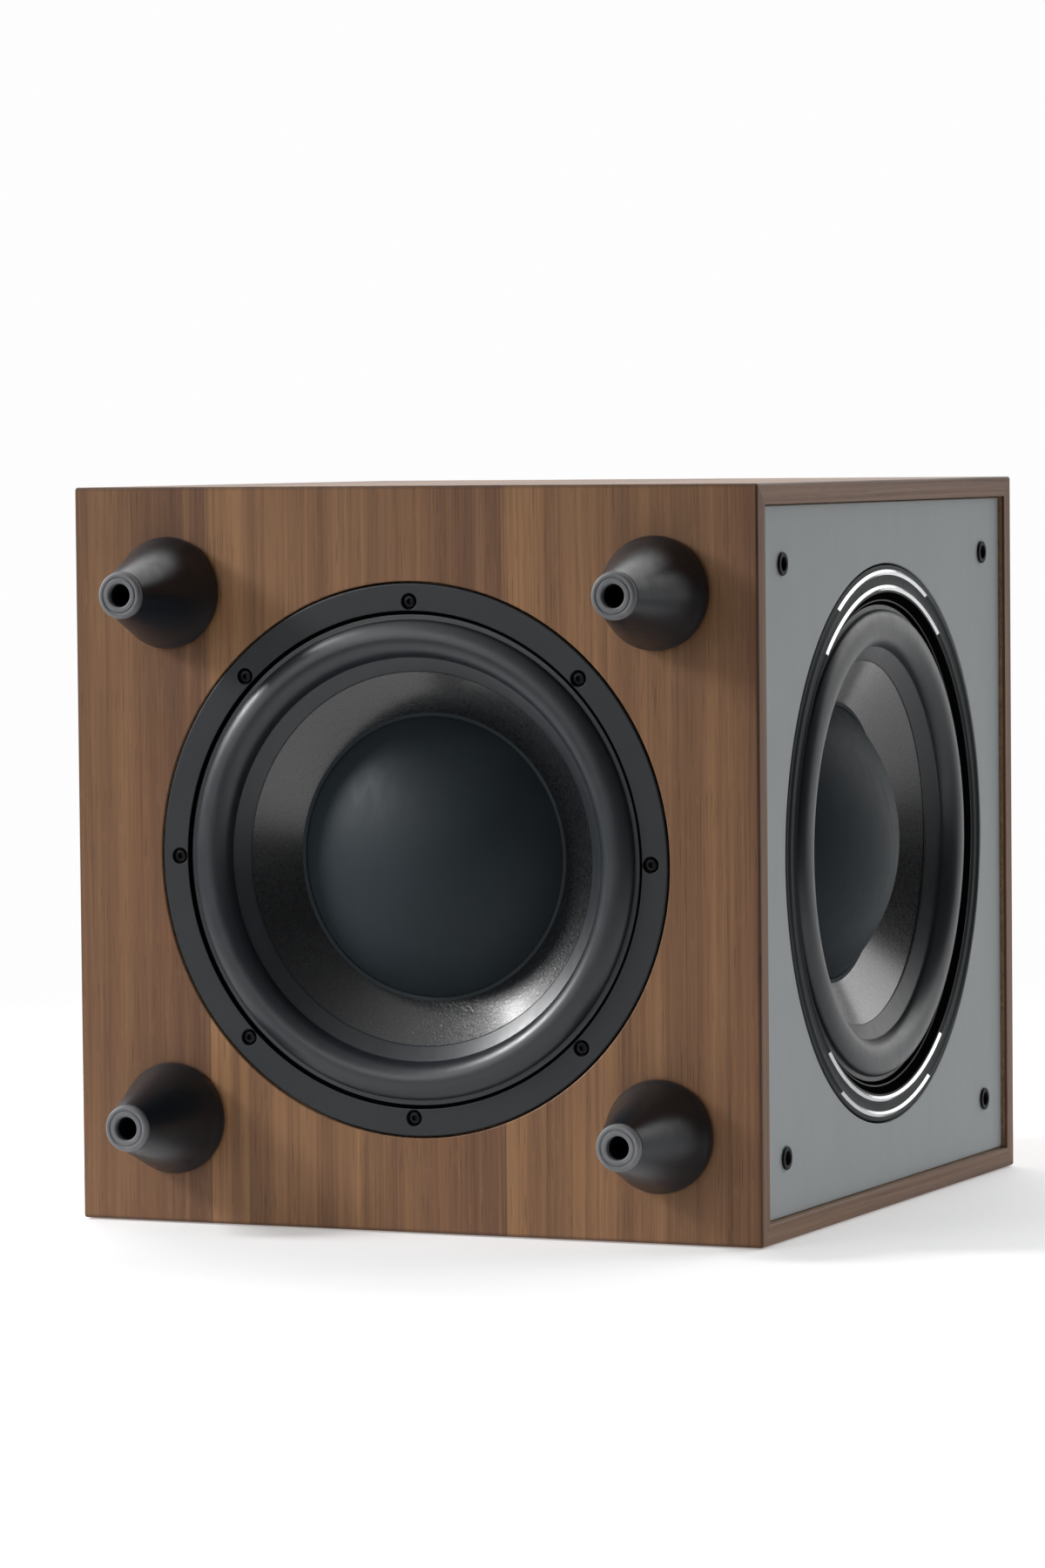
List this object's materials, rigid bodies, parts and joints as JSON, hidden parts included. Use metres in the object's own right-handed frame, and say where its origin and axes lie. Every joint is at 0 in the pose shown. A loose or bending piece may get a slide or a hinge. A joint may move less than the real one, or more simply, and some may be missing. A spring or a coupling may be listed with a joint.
{
  "type": "powered subwoofer",
  "caption": "Cube-shaped powered subwoofer lying on its side, with a front woofer, a passive radiator in the base, conical feet and a rear amplifier.",
  "frame": {"origin": "centre of the lower side panel's outer face, which the object lies on", "axes": "+X out of the front baffle, -Y out of the cabinet's bottom through the feet, +Z up as it lies; in use it stands on its feet with +Y up"},
  "size_m": [0.3645, 0.402, 0.35],
  "materials": {
    "walnut": "satin walnut veneer, grain along the cabinet's depth in use",
    "rear_black": "black textured paint on board",
    "baffle_grey": "satin grey lacquer on board",
    "raw_board": "unfinished fibreboard",
    "felt": "grey needled felt",
    "pad_grey": "grey rubber",
    "foot_black": "black satin moulding",
    "socket_rubber": "black soft plastic",
    "chassis_black": "black powder coat on cast aluminium",
    "foam_black": "black foam",
    "surround_rubber": "satin black rubber",
    "cone_paper": "coated fibre cone, fine speckle",
    "cap_black": "satin black cap",
    "spider_cloth": "resin-stiffened cloth",
    "screw_steel": "black steel",
    "steel": "zinc plated steel",
    "trim_black": "black trim with polished ridges",
    "ferrite": "sintered ferrite",
    "copper": "enamelled copper",
    "amp_black": "fine textured black paint on aluminium",
    "aluminium": "extruded aluminium",
    "circuit": "green circuit board",
    "socket_plastic": "black moulding",
    "rocker_plastic": "black glossy moulding",
    "knob_plastic": "black moulding with a white pointer",
    "light_lens": "blue tinted lens"
  },
  "bodies": {
    "cabinet": {"side_panel_lower": "walnut", "side_panel_upper": "walnut", "bottom_panel": "walnut", "top_panel": "walnut", "rear_panel": "rear_black", "front_baffle": "baffle_grey", "window_brace": "raw_board", "damping_felt": "felt", "foot_1": "foot_black", "foot_2": "foot_black", "foot_3": "foot_black", "foot_4": "foot_black", "foot_pad_1": "pad_grey", "foot_pad_2": "pad_grey", "foot_pad_3": "pad_grey", "foot_pad_4": "pad_grey", "grille_socket_1": "socket_rubber", "grille_socket_2": "socket_rubber", "grille_socket_3": "socket_rubber", "grille_socket_4": "socket_rubber", "pr_basket": "chassis_black", "pr_gasket": "foam_black", "pr_surround": "surround_rubber", "pr_spider": "spider_cloth", "pr_screw_1": "screw_steel", "pr_screw_2": "screw_steel", "pr_screw_3": "screw_steel", "pr_screw_4": "screw_steel", "pr_screw_5": "screw_steel", "pr_screw_6": "screw_steel", "pr_screw_7": "screw_steel", "pr_screw_8": "screw_steel", "woofer_basket": "chassis_black", "woofer_gasket": "foam_black", "woofer_trim_ring": "trim_black", "woofer_surround": "surround_rubber", "woofer_spider": "spider_cloth", "top_plate": "steel", "magnet": "ferrite", "back_plate": "steel", "amp_plate": "amp_black", "heat_sink": "aluminium", "amp_board": "circuit", "transformer": "copper", "mains_inlet": "socket_plastic", "switch_housing": "socket_plastic", "input_jacks": "steel", "status_light": "light_lens", "speaker_lead": "foam_black"},
    "radiator_cone": {"pr_cone": "cone_paper", "pr_dust_cap": "cap_black", "pr_mass": "steel"},
    "woofer_cone": {"woofer_cone": "cone_paper", "woofer_dust_cap": "cap_black", "voice_coil": "copper"},
    "gain_knob": {"gain_knob": "knob_plastic"},
    "crossover_knob": {"crossover_knob": "knob_plastic"},
    "power_switch": {"power_switch": "rocker_plastic"},
    "phase_switch": {"phase_switch": "rocker_plastic"}
  },
  "joints": [
    {"name": "woofer_stroke", "type": "slide", "parent": "cabinet", "child": "woofer_cone", "axis": [1, 0, 0], "range_m": [-0.01, 0.01], "stiffness_N_per_m": 2000, "deforming": ["woofer_surround", "woofer_spider"]},
    {"name": "radiator_stroke", "type": "slide", "parent": "cabinet", "child": "radiator_cone", "axis": [0, -1, 0], "range_m": [-0.012, 0.012], "stiffness_N_per_m": 1500, "deforming": ["pr_surround", "pr_spider"]},
    {"name": "gain_turn", "type": "hinge", "parent": "cabinet", "child": "gain_knob", "pos_m": [-0.175, 0.088, 0.13], "axis": [-1, 0, 0], "range_deg": [-140, 140]},
    {"name": "crossover_turn", "type": "hinge", "parent": "cabinet", "child": "crossover_knob", "pos_m": [-0.175, 0.088, 0.175], "axis": [-1, 0, 0], "range_deg": [-140, 140]},
    {"name": "power_rock", "type": "hinge", "parent": "cabinet", "child": "power_switch", "pos_m": [-0.175, -0.038, 0.225], "axis": [0, -1, 0], "range_deg": [0, 20]},
    {"name": "phase_slide", "type": "slide", "parent": "cabinet", "child": "phase_switch", "axis": [0, 0, 1], "range_m": [0, 0.004]}
  ]
}
